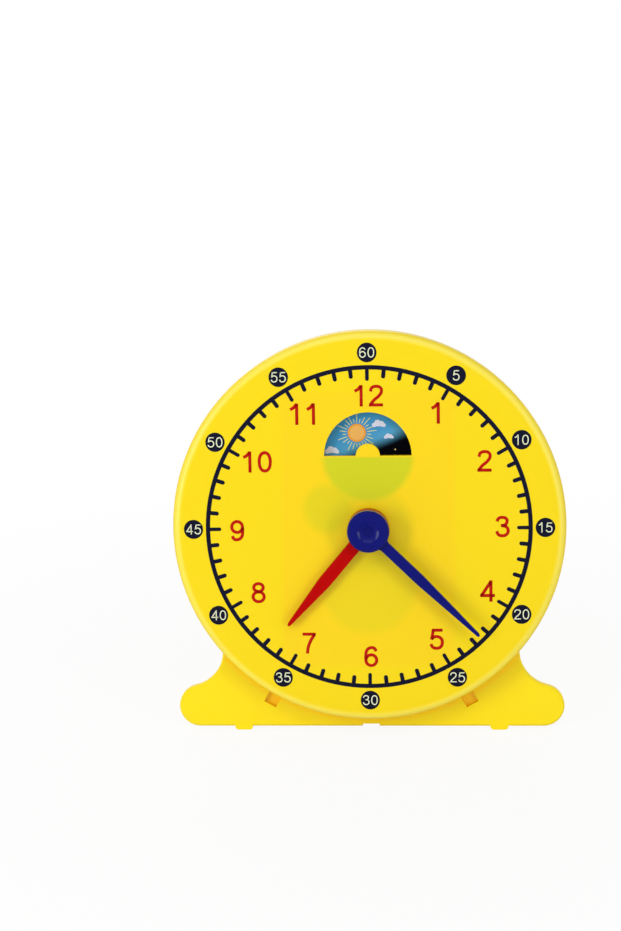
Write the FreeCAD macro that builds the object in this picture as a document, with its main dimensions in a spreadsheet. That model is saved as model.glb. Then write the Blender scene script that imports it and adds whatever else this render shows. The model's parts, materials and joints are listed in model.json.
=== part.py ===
import FreeCAD, Part
import math
import os
import re
import Sketcher

TOUCH = 1e-3  # two faces nearer than this count as one

# A geared teaching clock on a clip-on stand. Every piece is modelled about its own turning axis
# with x to the right, y up and z towards the viewer, and z = 0 is the front face of the dial.
# One placement then leans the whole clock back and stands it on the floor.
# Depths behind the front face are written as positive sizes and used with a minus sign.

doc = FreeCAD.newDocument("TeachingClock")
sheet = doc.addObject("Spreadsheet::Sheet", "Sizes")

# Driving sizes in millimetres, angles in degrees, and counts of teeth
DRIVING = {
    # dial case
    "dial_radius": 52.5, "case_depth": 8.0, "case_wall": 1.6, "dial_plate": 1.8,
    "rim_round": 2.2, "window_radius": 11.6, "window_boss": 3.2, "day_axis_height": 19.4,
    "day_boss": 3.0, "key_inset": 0.1, "overshoot": 1.0,
    # gear train
    "gear_module": 0.8, "addendum": 0.8, "dedendum": 1.25, "pressure_angle": 20,
    "tooth_play": 0.1, "cannon_teeth": 8, "cannon_shift": 0.5, "minute_teeth": 32,
    "leaf_teeth": 10, "leaf_shift": 0.4, "hour_teeth": 30, "hour_leaf_teeth": 14,
    "idler_teeth": 16, "day_teeth": 28,
    # layers of the train, as depths behind the dial's front face
    "card_front": 2.4, "card_thick": 0.5, "card_radius": 12.4, "layer_gap": 0.3, "wheel_thick": 2.0,
    "idler_relief": 0.2, "running_gap": 0.06, "end_play": 0.2, "fit_gap": 0.3,
    "web_recess": 0.6, "rim_band": 1.2, "web_hub": 1.4,
    # shafts and pins
    "arbor_radius": 2.0, "tube_wall": 1.14, "seat_radius": 1.8, "seat_flat": 1.3, "pin_radius": 1.0,
    "pin_skin": 0.9, "pin_boss": 2.4, "bearing_boss": 5.0, "bearing_boss_tall": 0.9,
    "arbor_end": 16.0, "arbor_collar": 2.7, "knob_pilot": 0.85,
    "hour_flange": 4.8,
    # hands, set as in the picture and counted clockwise from twelve
    "minute_reading": 134.2, "hour_reading": 220.0,
    "hub_radius": 5.55, "hour_hub_front": 2.8, "hour_hub_thick": 2.3, "minute_hub_thick": 3.1,
    "hour_blade_back": 1.0, "blade_thick": 1.3, "minute_blade_lift": 0.25, "arbor_in_hub": 1.8,
    "minute_reach": 40.6, "minute_shoulder": 19.0, "minute_width": 2.8, "minute_tip": 0.9,
    "hour_reach": 33.8, "hour_shoulder": 18.5, "hour_width": 3.46, "hour_tip": 0.9,
    "dimple_radius": 2.9, "dimple_deep": 0.7, "dot_radius": 0.5, "dot_deep": 0.2, "hub_bevel": 0.5,
    "blade_root": 4.0, "blade_fillet": 1.2,
    # rear housing
    "box_half_width": 21.0, "box_top": 34.7, "box_bottom": 35.7, "box_back": 12.0,
    "box_wall": 1.8, "box_round": 3.0, "screw_boss": 2.6, "screw_sink": 2.1, "screw_seat": 1.4,
    "screw_head": 2.1, "screw_head_tall": 1.6, "screw_shank": 0.95, "screw_long": 6.5,
    "pilot_gap": 0.05, "screw_hole_gap": 0.25, "rail_reach": 2.0, "rail_thick": 1.0,
    "rail_gap": 0.1, "cross_wide": 2.4, "cross_slit": 0.5, "cross_deep": 0.7,
    # setting knob and its friction washer
    "washer_thick": 0.6, "washer_radius": 4.6, "knob_gap": 0.1, "knob_hub": 3.4, "knob_hub_tall": 1.1,
    "knob_radius": 11.0, "knob_tall": 5.2, "knob_bevel": 0.8, "knob_well": 4.2, "knob_well_deep": 2.0,
    "flute_radius": 1.3, "flute_inset": 0.5, "flutes": 14, "knob_screw_head": 2.3,
    "knob_screw_head_tall": 1.4, "knob_screw_shank": 0.8, "knob_screw_long": 4.5,
    # stand
    "lean_back": 10, "base_below": 3.7, "foot_drop": 1.0, "lobe_beyond": 0.2, "lobe_radius": 5.7,
    "waist_inset": 12.2, "flare_radius": 10.0, "stand_plate": 2.4, "arm_drop": 12.0,
    "slide_gap": 0.15, "leg_inset": 17.7, "foot_width": 4.9, "foot_tall": 3.0, "leg_web": 2.2,
    "leg_reach": 38.0, "leg_top": 24.0, "leg_toe": 6.0, "leg_sweep": 36.0, "bar_thick": 2.4, "bar_lift": 0.5,
    "foot_round": 0.9, "stand_bevel": 0.5, "notch_width": 4.6, "notch_tall": 0.7,
    "slot_angle": 29, "slot_width": 3.6, "slot_beyond": 4.7, "slot_within": 3.5, "slot_deep": 1.2,
    "key_width": 3.2, "key_tall": 1.0,
}

# Sizes that follow from the driving ones
DERIVED = {
    "minute_centres": "=gear_module*(cannon_teeth+minute_teeth)/2",
    "idler_centres": "=gear_module*(hour_leaf_teeth+idler_teeth)/2",
    "day_centres": "=gear_module*(idler_teeth+day_teeth)/2",
    "idler_rise": "=(day_axis_height^2+idler_centres^2-day_centres^2)/(2*day_axis_height)",
    "idler_side": "=sqrt(idler_centres^2-idler_rise^2)",
    "gear_front": "=card_front+card_thick",
    "hour_front": "=gear_front+wheel_thick+layer_gap",
    "minute_front": "=hour_front+wheel_thick+2*end_play",
    "train_back": "=minute_front+wheel_thick",
    "tube_radius": "=arbor_radius+running_gap+tube_wall",
    "floor_front": "=box_back-box_wall",
    "minute_hub_back": "=hour_hub_front+layer_gap",
    "minute_hub_front": "=minute_hub_back+minute_hub_thick",
    "knob_front": "=box_back+washer_thick+knob_gap",
    "knob_disc_front": "=knob_front+knob_hub_tall",
    "knob_back": "=knob_disc_front+knob_tall",
    "knob_floor": "=knob_back-knob_well_deep",
    "boss_side": "=box_half_width-box_wall-screw_boss-fit_gap",
    "boss_rise": "=box_top-box_wall-screw_boss-fit_gap",
    "boss_fall": "=box_bottom-box_wall-screw_boss-fit_gap",
    "boss_back": "=box_back-screw_sink-screw_seat",
    "base_drop": "=dial_radius+base_below",
    "lobe_reach": "=dial_radius+lobe_beyond",
    "waist": "=lobe_reach-waist_inset",
    "leg_offset": "=lobe_reach-leg_inset",
    "slot_outer": "=dial_radius+slot_beyond",
    "slot_inner": "=dial_radius-slot_within",
    "lobe_side": "=lobe_reach-lobe_radius",
    "lobe_drop": "=base_drop-lobe_radius",
    "mouth_side": "=box_half_width+slide_gap",
    "flare_side": "=waist+flare_radius",
    "flare_drop": "=lobe_drop-sqrt((flare_radius+lobe_radius)^2-(flare_side-lobe_side)^2)",
    "join_side": "=lobe_side+(flare_side-lobe_side)*lobe_radius/(flare_radius+lobe_radius)",
    "join_drop": "=lobe_drop-(lobe_drop-flare_drop)*lobe_radius/(flare_radius+lobe_radius)",
    "hub_height": "=(base_drop+foot_drop)*cos(lean_back*1deg)+case_depth*sin(lean_back*1deg)",
    "leg_back": "=case_depth+leg_reach",
    # rest angles that put the teeth in mesh
    "minute_turn": "=-minute_reading",
    "hour_turn": "=-hour_reading",
    "cannon_angle": "=90-minute_reading",
    "minute_wheel_angle": "=90+180/minute_teeth-(cannon_angle+90)*cannon_teeth/minute_teeth",
    "hour_wheel_angle": "=270+180/hour_teeth-(minute_wheel_angle-90)*leaf_teeth/hour_teeth",
    "idler_bearing": "=180-atan(idler_rise/idler_side)/1deg",
    "idler_angle": "=idler_bearing+180+180/idler_teeth"
                   "-(hour_wheel_angle-idler_bearing)*hour_leaf_teeth/idler_teeth",
    "day_bearing": "=atan((day_axis_height-idler_rise)/idler_side)/1deg",
    "day_angle": "=day_bearing+180+180/day_teeth-(idler_angle-day_bearing)*idler_teeth/day_teeth",
    "origin_back": "0",
}
NAMES = {**DRIVING, **DERIVED}

for row, (alias, content) in enumerate(NAMES.items(), start=1):
    sheet.set("A%d" % row, alias)
    sheet.set("B%d" % row, str(content))
    sheet.setAlias("B%d" % row, alias)
doc.recompute()


def formula(text):
    """Points each size that a formula names at its cell in the sheet."""
    return re.sub(r"[a-z_]+", lambda word: ("Sizes." + word.group()) if word.group() in NAMES
                  else word.group(), str(text))


def number(text):
    """The value of a formula, as a plain number."""
    value = sheet.evalExpression(formula(text))
    return float(getattr(value, "Value", value))


def bind(thing, **properties):
    for name, text in properties.items():
        thing.setExpression(name, formula(text))


def place(thing, x, y, z, turn="0"):
    """Puts a building block where its formulas say, turned about the z axis of the clock."""
    thing.setExpression("Placement", "placement(vector(0; 0; 0); rotationz(%s))"
                        " * placement(vector(%s; %s; %s); rotationz(0))"
                        % tuple(formula(text) for text in (turn, x, y, z)))
    return thing


# Building blocks: primitives and booleans

def cylinder(name, radius, back, height, x="0", y="0"):
    block = doc.addObject("Part::Cylinder", name)
    bind(block, Radius=radius, Height=height)
    return place(block, x, y, back)


def box(name, x, y, z, turn="0"):
    """A box from three pairs of formulas, each pair a low side and a size."""
    block = doc.addObject("Part::Box", name)
    bind(block, Length=x[1], Width=y[1], Height=z[1])
    return place(block, x[0], y[0], z[0], turn)


def fuse(name, blocks):
    joined = doc.addObject("Part::MultiFuse", name)
    joined.Shapes = blocks
    joined.Refine = True
    return joined


def cut(name, base, tools):
    result = doc.addObject("Part::Cut", name)
    result.Base = base
    result.Tool = tools[0] if len(tools) == 1 else fuse(name + "_tools", tools)
    return result


def common(name, first, second):
    result = doc.addObject("Part::Common", name)
    result.Base = first
    result.Tool = second
    return result


# Building blocks: bodies with sketches

def sketch(body, name, role, offset="0"):
    outline = body.newObject("Sketcher::SketchObject", name)
    support = next(feature for feature in body.Origin.OriginFeatures if feature.Role == role)
    outline.AttachmentSupport = [(support, "")]
    outline.MapMode = "FlatFace"
    outline.setExpression(".AttachmentOffset.Base.z", formula(offset))
    return outline


def hold(outline, geometry, point, x, y):
    """Ties one point of a sketch to the formulas of its two distances from the origin."""
    for kind, axis, text in (("DistanceX", -2, x), ("DistanceY", -1, y)):
        if number(text) == 0:
            outline.addConstraint(Sketcher.Constraint("PointOnObject", geometry, point, axis))
            continue
        index = outline.addConstraint(
            Sketcher.Constraint(kind, -1, 1, geometry, point, number(text)))
        outline.setExpression("Constraints[%d]" % index, formula(text))


def path(outline, corners):
    """A closed outline whose corners are held by formulas: (x, y), or (x, y, radius, side) where
    the side that starts there is an arc, with its centre to the left (1) or to the right (-1)."""
    points = [FreeCAD.Vector(number(corner[0]), number(corner[1]), 0) for corner in corners]
    ends = []
    for index, corner in enumerate(corners):
        start, end = points[index], points[(index + 1) % len(points)]
        if len(corner) == 2:
            outline.addGeometry(Part.LineSegment(start, end), False)
            ends.append((1, 2))
            continue
        radius, side = number(corner[2]), corner[3]
        chord = end - start
        rise = math.sqrt(radius ** 2 - (chord.Length / 2) ** 2)
        across = FreeCAD.Vector(-chord.y, chord.x, 0) / chord.Length
        centre = (start + end) / 2 + across * rise * side
        bounds = [math.atan2(spot.y - centre.y, spot.x - centre.x) for spot in (start, end)]
        ring = Part.Circle(centre, FreeCAD.Vector(0, 0, 1), radius)
        ends.append((1, 2) if side > 0 else (2, 1))
        outline.addGeometry(Part.ArcOfCircle(ring, *bounds[::side]), False)
        limit = outline.addConstraint(Sketcher.Constraint("Radius", index, radius))
        outline.setExpression("Constraints[%d]" % limit, formula(corner[2]))
    for index, corner in enumerate(corners):
        following = (index + 1) % len(points)
        outline.addConstraint(Sketcher.Constraint("Coincident", index, ends[index][1],
                                                  following, ends[following][0]))
        hold(outline, index, ends[index][0], corner[0], corner[1])


def circle(outline, x, y, radius):
    centre = FreeCAD.Vector(number(x), number(y), 0)
    index = outline.addGeometry(
        Part.Circle(centre, FreeCAD.Vector(0, 0, 1), number(radius)), False)
    hold(outline, index, 3, x, y)
    ring = outline.addConstraint(Sketcher.Constraint("Radius", index, number(radius)))
    outline.setExpression("Constraints[%d]" % ring, formula(radius))


def revolve(body, name, corners):
    """Turns an outline of (radius, z) corners about the z axis."""
    outline = sketch(body, name + "_outline", "XZ_Plane")
    path(outline, corners)
    turned = body.newObject("PartDesign::Revolution", name)
    turned.Profile = outline
    turned.ReferenceAxis = (outline, ["V_Axis"])
    turned.Angle = 360
    outline.Visibility = False
    return turned


def pad(body, name, role, corners, offset, length):
    outline = sketch(body, name + "_outline", role, offset)
    path(outline, corners)
    raised = body.newObject("PartDesign::Pad", name)
    raised.Profile = outline
    bind(raised, Length=length)
    return raised


def round_edges(body, name, base, wanted, radius):
    """Rounds the edges of a feature that a test picks out."""
    doc.recompute()
    picked = ["Edge%d" % (index + 1) for index, edge in enumerate(base.Shape.Edges) if wanted(edge)]
    rounded = body.newObject("PartDesign::Fillet", name)
    rounded.Base = (base, picked)
    bind(rounded, Radius=radius)
    return rounded


def new_body(name):
    return doc.addObject("PartDesign::Body", name)


def turned_piece(name, corners):
    body = new_body(name)
    revolve(body, name + "_turning", corners)
    return body


# Gear teeth

def tooth_outline(teeth, shift):
    """A closed wire of teeth about the origin, with a tooth centred on the x axis. Each flank
    follows its involute through three points, from the base circle to the tip."""
    module = number("gear_module")
    count = int(round(number(teeth)))
    offset = number(shift)
    slope = math.radians(number("pressure_angle"))
    pitch = module * count / 2
    base = pitch * math.cos(slope)
    tip = pitch + module * (number("addendum") + offset)
    root = pitch - module * (number("dedendum") - offset)
    thickness = module * (math.pi / 2 + 2 * offset * math.tan(slope)) - number("tooth_play")

    def half_angle(radius):
        lean = math.acos(min(1.0, base / radius))
        return thickness / (2 * pitch) + (math.tan(slope) - slope) - (math.tan(lean) - lean)

    def point(radius, angle):
        return FreeCAD.Vector(radius * math.cos(angle), radius * math.sin(angle), 0)

    start = max(base, root)
    middle = (start + tip) / 2
    step = 2 * math.pi / count
    corners = []
    for tooth in range(count):
        centre = tooth * step
        spots = [(radius, -half_angle(radius)) for radius in (start, middle, tip)]
        spots += [(radius, -angle) for radius, angle in spots[::-1]]
        if start > root:
            spots = [(root, spots[0][1])] + spots + [(root, spots[-1][1])]
        corners += [point(radius, centre + angle) for radius, angle in spots]
    return Part.makePolygon(corners + corners[:1])


def toothed(name, teeth, shift, back, height):
    """A toothed disc from one depth forwards."""
    outline = doc.addObject("Part::Feature", name + "_teeth")
    outline.Shape = Part.Face(tooth_outline(teeth, shift))
    gear = doc.addObject("Part::Extrusion", name)
    gear.Base = outline
    gear.DirMode = "Custom"
    gear.Dir = FreeCAD.Vector(0, 0, 1)
    gear.Solid = True
    bind(gear, LengthFwd=height)
    return place(gear, "0", "0", back)


def web_recess(name, hub, teeth, back):
    """The ring that thins a wheel's web from the rear, between its hub and its rim."""
    start, deep = back + "-overshoot", "web_recess+overshoot"
    outer = cylinder(name + "_web", "gear_module*(%s/2-dedendum)-rim_band" % teeth, start, deep)
    inner = cylinder(name + "_web_hub", hub, start, deep)
    return cut(name + "_web_ring", outer, [inner])


# Placing the finished pieces

PIECES = {}


def finish(name, piece, x="0", y="0", turn="0"):
    """Labels a piece and seats it in the leaning clock, turned about its own axis."""
    piece.Label = name
    seat = ("placement(vector(0; origin_back; hub_height); rotationx(90-lean_back))"
            " * placement(vector(%s; %s; 0); rotationz(%s))" % (x, y, turn))
    piece.setExpression("Placement", formula(seat))
    PIECES[name] = piece


# Dial case: a shallow moulded dish with a half-round window and bosses on its back

def window_cutter():
    back, height = "-dial_plate-overshoot", "dial_plate+2*overshoot"
    wide = cylinder("window_round", "window_radius", back, height, y="day_axis_height")
    upper = box("window_upper", ("-window_radius-overshoot", "2*(window_radius+overshoot)"),
                ("day_axis_height", "window_radius+overshoot"), (back, height))
    boss = cylinder("window_boss_keep", "window_boss", back, height, y="day_axis_height")
    return cut("window_cutter", common("window_half", wide, upper), [boss])


def screw_places():
    return [(side, level) for side in ("-boss_side", "boss_side")
            for level in ("boss_rise", "-boss_fall")]


def dial_case():
    shell = new_body("dial_shell")
    dish = revolve(shell, "dial_dish", [
        ("0", "0"), ("dial_radius", "0"), ("dial_radius", "-case_depth"),
        ("dial_radius-case_wall", "-case_depth"), ("dial_radius-case_wall", "-dial_plate"),
        ("0", "-dial_plate")])
    reach = number("dial_radius")
    round_edges(shell, "dial_rim", dish, lambda edge: edge.BoundBox.ZMax > -TOUCH
                and abs(edge.BoundBox.XMax - reach) < TOUCH, "rim_round")

    blocks = [shell]
    blocks.append(cylinder("case_bearing", "bearing_boss", "-dial_plate-bearing_boss_tall",
                           "bearing_boss_tall+dial_plate/2"))
    for index, (side, level) in enumerate(screw_places()):
        blocks.append(cylinder("case_screw_boss_%d" % index, "screw_boss", "-boss_back",
                               "boss_back-dial_plate/2", side, level))
    blocks.append(cylinder("case_day_boss", "day_boss", "-card_front+end_play",
                           "card_front-end_play-dial_plate/2", y="day_axis_height"))
    blocks.append(cylinder("case_idler_boss", "pin_boss", "-gear_front-idler_relief+fit_gap",
                           "gear_front+idler_relief-fit_gap-dial_plate/2",
                           "-idler_side", "idler_rise"))
    blocks.append(cylinder("case_minute_boss", "pin_boss", "-hour_front+2*end_play",
                           "hour_front-2*end_play-dial_plate/2", y="-minute_centres"))
    for index, turn in enumerate(("-slot_angle", "slot_angle")):
        blocks.append(box("case_key_%d" % index, ("-key_width/2", "key_width"),
                          ("-dial_radius+key_inset", "case_wall-2*key_inset"),
                          ("-case_depth-key_tall", "key_tall+overshoot"), turn))

    tools = [window_cutter()]
    tools.append(cylinder("case_bore", "tube_radius+running_gap", "-case_depth", "case_depth+overshoot"))
    for index, (side, level) in enumerate(screw_places()):
        tools.append(cylinder("case_pilot_%d" % index, "screw_shank+pilot_gap",
                              "-boss_back-overshoot", "boss_back+overshoot-dial_plate",
                              side, level))
    pins = (("day", "0", "day_axis_height"), ("idler", "-idler_side", "idler_rise"),
            ("minute", "0", "-minute_centres"))
    for name, side, level in pins:
        tools.append(cylinder("case_%s_hole" % name, "pin_radius", "-case_depth",
                              "case_depth-pin_skin", side, level))
    finish("dial_case", cut("dial_case", fuse("dial_solid", blocks), tools))


# Rear housing: the moulded box that closes the train and carries the stand on its rails

def rear_housing():
    shell = new_body("housing_shell")
    block = pad(shell, "housing_block", "XY_Plane", [
        ("-box_half_width", "-box_bottom"), ("box_half_width", "-box_bottom"),
        ("box_half_width", "box_top"), ("-box_half_width", "box_top")],
        "-box_back", "box_back-dial_plate")
    corners = round_edges(shell, "housing_corners", block, lambda edge: edge.BoundBox.ZLength > TOUCH,
                          "box_round")
    doc.recompute()
    front = -number("dial_plate")
    mouth = ["Face%d" % (index + 1) for index, face in enumerate(corners.Shape.Faces)
             if face.BoundBox.ZMin > front - TOUCH]
    hollow = shell.newObject("PartDesign::Thickness", "housing_hollow")
    hollow.Base = (corners, mouth)
    hollow.Reversed = True
    bind(hollow, Value="box_wall")
    rear = -number("box_back")
    round_edges(shell, "housing_back_edge", hollow,
                lambda edge: edge.BoundBox.ZMax < rear + TOUCH, "box_wall/2")

    blocks = [shell]
    for index, (side, level) in enumerate(screw_places()):
        blocks.append(cylinder("housing_screw_boss_%d" % index, "screw_boss+fit_gap+box_wall/2",
                               "-box_back+box_wall/2", "screw_sink+screw_seat-box_wall/2",
                               side, level))
    blocks.append(cylinder("housing_day_boss", "pin_boss", "-box_back+box_wall/2",
                           "box_back-box_wall/2-gear_front-2*wheel_thick",
                           y="day_axis_height"))
    blocks.append(cylinder("housing_minute_boss", "pin_boss", "-box_back+box_wall/2",
                           "box_back-box_wall/2-train_back-end_play", y="-minute_centres"))
    for index, side in enumerate(("-box_half_width-rail_reach", "box_half_width-box_wall/2")):
        for place_name, back_face in (("front", "-case_depth+rail_gap"),
                                      ("rear", "-case_depth-stand_plate-rail_gap-rail_thick")):
            blocks.append(box("housing_rail_%s_%d" % (place_name, index),
                              (side, "rail_reach+box_wall/2"),
                              ("-box_bottom+box_round", "box_bottom-box_round-arm_drop"),
                              (back_face, "rail_thick")))

    tools = [cylinder("housing_bearing", "arbor_radius+running_gap", "-box_back-overshoot",
                      "box_back")]
    for index, (side, level) in enumerate(screw_places()):
        tools.append(cylinder("housing_well_%d" % index, "screw_head+fit_gap",
                              "-box_back-overshoot", "screw_sink+overshoot", side, level))
        tools.append(cylinder("housing_hole_%d" % index, "screw_shank+screw_hole_gap",
                              "-box_back-overshoot", "box_back", side, level))
    for name, level in (("day", "day_axis_height"), ("minute", "-minute_centres")):
        tools.append(cylinder("housing_%s_hole" % name, "pin_radius", "-box_back+pin_skin",
                              "box_back-pin_skin", y=level))
    finish("rear_housing", cut("rear_housing", fuse("housing_solid", blocks), tools))


def recess_cross(name, x, y, face):
    """A cross recess in a screw head that faces the rear."""
    return [box("%s_cross_%d" % (name, arm), ("%s-%s/2" % (x, wide), wide),
                ("%s-%s/2" % (y, tall), tall), (face + "-overshoot", "cross_deep+overshoot"))
            for arm, (wide, tall) in enumerate((("cross_wide", "cross_slit"),
                                                ("cross_slit", "cross_wide")))]


def housing_screws():
    heads = []
    crosses = []
    seat = "-box_back+screw_sink"
    for index, (side, level) in enumerate(screw_places()):
        heads.append(cylinder("screw_head_%d" % index, "screw_head", seat + "-screw_head_tall",
                              "screw_head_tall", side, level))
        heads.append(cylinder("screw_shank_%d" % index, "screw_shank", seat, "screw_long",
                              side, level))
        crosses += recess_cross("screw_%d" % index, side, level, seat + "-screw_head_tall")
    finish("housing_screws", cut("housing_screws", fuse("screw_solids", heads), crosses))


# Stand: a lobed plate that slides up the housing's rails, on two legs joined by a bar

def floor_at(depth):
    """The height at which the leaning plane of a piece meets the floor at a given depth."""
    return "(%s*sin(lean_back*1deg)-hub_height)/cos(lean_back*1deg)" % depth


def stand_half(side):
    """The corners of one side of the plate's outline: upwards on the right, downwards on the left."""
    ends = [(side + "lobe_side", "-base_drop"), (side + "join_side", "-join_drop"),
            (side + "waist", "-flare_drop"), (side + "waist", "-arm_drop"),
            (side + "mouth_side", "-arm_drop"), (side + "mouth_side", "-box_bottom")]
    lobe, flare = ("lobe_radius", 1), ("flare_radius", -1)
    if not side:
        return [ends[0] + lobe, ends[1] + flare] + ends[2:]
    return ends[:3:-1] + [ends[3], ends[2] + flare, ends[1] + lobe, ends[0]]


def stand_plate():
    """The lobed plate, with a bevel along the front edge of its outline."""
    body = new_body("stand_plate")
    slab = pad(body, "stand_slab", "XY_Plane", stand_half("") + stand_half("-"),
               "-case_depth-stand_plate", "stand_plate")
    doc.recompute()
    front = -number("case_depth")
    picked = ["Edge%d" % (index + 1) for index, edge in enumerate(slab.Shape.Edges)
              if edge.BoundBox.ZMin > front - TOUCH]
    bevel = body.newObject("PartDesign::Chamfer", "stand_bevel")
    bevel.Base = (slab, picked)
    bind(bevel, Size="stand_bevel")
    return body


def stand():
    toe = floor_at("leg_back")
    leg_outline = [
        (floor_at("(case_depth+stand_plate/2)") + "+foot_tall/2", "-case_depth-stand_plate/2"),
        (toe + "+foot_tall/2", "-leg_back"),
        (toe + "+leg_toe", "-leg_back", "leg_sweep", 1),
        ("-leg_top", "-case_depth-stand_plate"),
        ("-leg_top", "-case_depth-stand_plate/2")]
    foot_outline = [
        (floor_at("case_depth"), "-case_depth"),
        (toe, "-leg_back"),
        (toe + "+foot_tall", "-leg_back"),
        (floor_at("case_depth") + "+foot_tall", "-case_depth")]
    bar_outline = [
        (toe + "+bar_lift", "-leg_back"),
        (toe + "+leg_toe", "-leg_back"),
        (toe + "+leg_toe", "-leg_back+bar_thick"),
        (toe + "+bar_lift", "-leg_back+bar_thick")]
    blocks = [stand_plate()]
    bar = new_body("stand_bar")
    pad(bar, "stand_bar_pad", "YZ_Plane", bar_outline, "-leg_offset", "2*leg_offset")
    blocks.append(bar)
    reach = number("leg_reach")
    for index, side in enumerate(("-", "")):
        leg = new_body("stand_leg_%d" % index)
        pad(leg, "stand_leg_pad_%d" % index, "YZ_Plane", leg_outline,
            side + "leg_offset-leg_web/2", "leg_web")
        foot = new_body("stand_foot_%d" % index)
        runner = pad(foot, "stand_foot_pad_%d" % index, "YZ_Plane", foot_outline,
                     side + "leg_offset-foot_width/2", "foot_width")
        doc.recompute()
        middle = runner.Shape.CenterOfMass.y
        round_edges(foot, "stand_foot_round_%d" % index, runner,
                    lambda edge: edge.BoundBox.ZLength > reach - TOUCH
                    and edge.CenterOfMass.y < middle, "foot_round")
        blocks += [leg, foot]

    tools = [box("stand_notch", ("-notch_width/2", "notch_width"),
                 ("-base_drop-overshoot", "notch_tall+overshoot"),
                 ("-case_depth-stand_plate-overshoot", "stand_plate+2*overshoot"))]
    for index, turn in enumerate(("-slot_angle", "slot_angle")):
        tools.append(box("stand_slot_%d" % index, ("-slot_width/2", "slot_width"),
                         ("-slot_outer", "slot_outer-slot_inner"),
                         ("-case_depth-slot_deep", "slot_deep+overshoot"), turn))
    finish("stand", cut("stand", fuse("stand_solid", blocks), tools))


# Gear train

def minute_arbor():
    shaft = turned_piece("arbor_shaft", [
        ("0", "minute_hub_back+arbor_in_hub"), ("arbor_radius", "minute_hub_back+arbor_in_hub"),
        ("arbor_radius", "-train_back"), ("arbor_collar", "-train_back"),
        ("arbor_collar", "-floor_front+end_play/2"), ("arbor_radius", "-floor_front+end_play/2"),
        ("arbor_radius", "-box_back-washer_thick/2"), ("seat_radius", "-box_back-washer_thick/2"),
        ("seat_radius", "-arbor_end"), ("0", "-arbor_end")])
    leaves = toothed("arbor_leaves", "cannon_teeth", "cannon_shift", "-train_back", "wheel_thick")
    flat = box("arbor_flat", ("seat_flat", "arbor_radius"), ("-arbor_radius", "2*arbor_radius"),
               ("-arbor_end-overshoot", "arbor_end+overshoot-knob_front"))
    pilot = cylinder("arbor_pilot", "knob_pilot", "-arbor_end-overshoot", "knob_screw_long+overshoot")
    finish("minute_arbor", cut("minute_arbor", fuse("arbor_solid", [shaft, leaves]), [flat, pilot]),
           turn="cannon_angle")


def hour_wheel():
    tube = turned_piece("hour_tube", [
        ("arbor_radius", "hour_hub_front"), ("tube_radius", "hour_hub_front"),
        ("tube_radius", "-gear_front"), ("hour_flange", "-gear_front-wheel_thick"),
        ("hour_flange", "-hour_front-wheel_thick-end_play"),
        ("arbor_radius", "-hour_front-wheel_thick-end_play")])
    wheel = toothed("hour_rim", "hour_teeth", "-leaf_shift", "-hour_front-wheel_thick", "wheel_thick")
    leaves = toothed("hour_leaves", "hour_leaf_teeth", "0", "-hour_front",
                     "hour_front-gear_front-idler_relief")
    bore = cylinder("hour_bore", "arbor_radius+running_gap", "-train_back",
                    "train_back+minute_hub_front")
    recess = web_recess("hour", "hour_flange", "hour_teeth", "-hour_front-wheel_thick")
    finish("hour_wheel", cut("hour_wheel", fuse("hour_solid", [tube, wheel, leaves]), [bore, recess]),
           turn="hour_wheel_angle")


def minute_wheel():
    wheel = toothed("minute_rim", "minute_teeth", "-cannon_shift", "-train_back", "wheel_thick")
    leaves = toothed("minute_leaves", "leaf_teeth", "leaf_shift", "-minute_front",
                     "minute_front-hour_front+end_play")
    bore = cylinder("minute_bore", "pin_radius+running_gap", "-train_back-overshoot", "train_back")
    recess = web_recess("minute", "pin_boss+web_hub", "minute_teeth", "-train_back")
    finish("minute_wheel", cut("minute_wheel", fuse("minute_solid", [wheel, leaves]), [bore, recess]),
           y="-minute_centres", turn="minute_wheel_angle")


def idler_gear():
    wheel = toothed("idler_rim", "idler_teeth", "0", "-gear_front-wheel_thick",
                    "wheel_thick-idler_relief")
    bore = cylinder("idler_bore", "pin_radius+running_gap", "-train_back", "train_back")
    finish("idler_gear", cut("idler_gear", wheel, [bore]), "-idler_side", "idler_rise",
           "idler_angle")


def day_night_gear():
    wheel = toothed("day_rim", "day_teeth", "0", "-gear_front-wheel_thick", "wheel_thick")
    hub = cylinder("day_hub", "pin_boss", "-gear_front-2*wheel_thick+end_play",
                   "2*wheel_thick-end_play")
    bore = cylinder("day_bore", "pin_radius+running_gap", "-box_back", "box_back")
    recess = web_recess("day", "pin_boss+web_hub", "day_teeth", "-gear_front-wheel_thick")
    finish("day_night_gear", cut("day_night_gear", fuse("day_solid", [wheel, hub]), [bore, recess]),
           y="day_axis_height", turn="day_angle")


def day_night_disc():
    card = cylinder("day_card", "card_radius", "-gear_front", "card_thick")
    bore = cylinder("day_card_bore", "pin_radius+running_gap", "-box_back", "box_back")
    finish("day_night_disc", cut("day_night_disc", card, [bore]), y="day_axis_height",
           turn="day_angle")


def pivot_pins():
    pins = (("day_night_pin", "0", "day_axis_height", "box_back-pin_skin"),
            ("idler_pin", "-idler_side", "idler_rise", "gear_front+wheel_thick"),
            ("minute_wheel_pin", "0", "-minute_centres", "box_back-pin_skin"))
    for name, side, level, end in pins:
        finish(name, turned_piece(name + "_body", [
            ("0", "-pin_skin"), ("pin_radius", "-pin_skin"), ("pin_radius", "-(%s)" % end),
            ("0", "-(%s)" % end)]), side, level)


# Hands

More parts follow.
